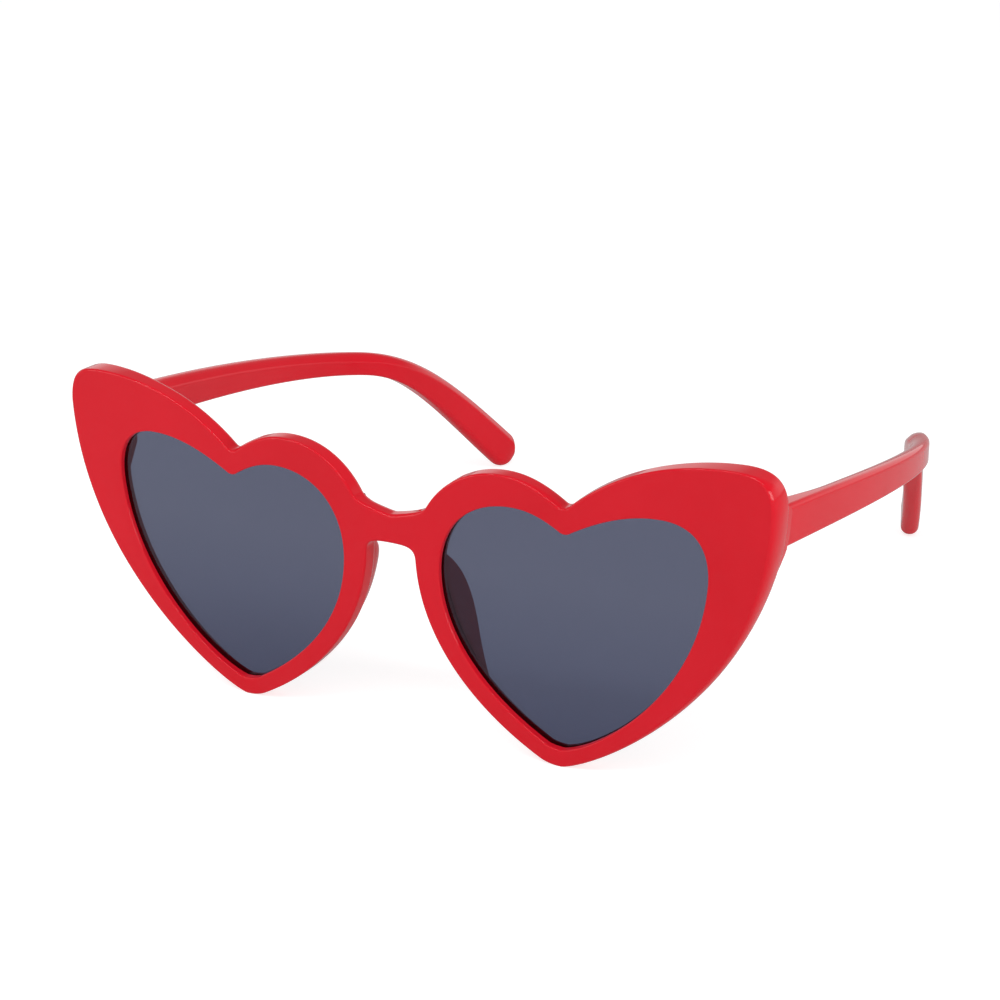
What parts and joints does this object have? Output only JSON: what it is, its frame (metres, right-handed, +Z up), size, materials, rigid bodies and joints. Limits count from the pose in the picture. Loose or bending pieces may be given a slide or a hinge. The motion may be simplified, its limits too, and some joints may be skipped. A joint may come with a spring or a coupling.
{
  "type": "heart shaped sunglasses",
  "caption": "Heart shaped sunglasses: glossy moulded front with dark tinted lenses, moulded nose pads, and temples that fold in on metal hinges.",
  "frame": {"origin": "on the floor, under the middle of the part's width and of its depth, at the height of the hearts' tips", "axes": "+X towards the wearer's left temple, +Y back along the temples to the ears, +Z up"},
  "size_m": [0.1538, 0.1496, 0.0628],
  "materials": {
    "red_plastic": "polished, opaque red moulded plastic with a high gloss",
    "tinted_lens": "clear grey tinted lens plastic with polished faces, slightly lighter towards the top",
    "hinge_metal": "bright plated metal, fine brushed",
    "screw_metal": "turned steel, slotted head"
  },
  "bodies": {
    "front": {"front_frame": "red_plastic", "lens_left": "tinted_lens", "lens_right": "tinted_lens", "front_leaf_left": "hinge_metal", "front_leaf_right": "hinge_metal", "hinge_screw_left": "screw_metal", "hinge_screw_right": "screw_metal"},
    "arm_left": {"temple_left": "red_plastic", "temple_leaf_left": "hinge_metal"},
    "arm_right": {"temple_right": "red_plastic", "temple_leaf_right": "hinge_metal"}
  },
  "joints": [
    {"name": "temple_left_fold", "type": "hinge", "parent": "front", "child": "arm_left", "pos_m": [0.0678, -0.06327, 0.051], "axis": [0, 0, 1], "range_deg": [0, 85]},
    {"name": "temple_right_fold", "type": "hinge", "parent": "front", "child": "arm_right", "pos_m": [-0.0678, -0.06327, 0.051], "axis": [0, 0, -1], "range_deg": [0, 79]}
  ]
}
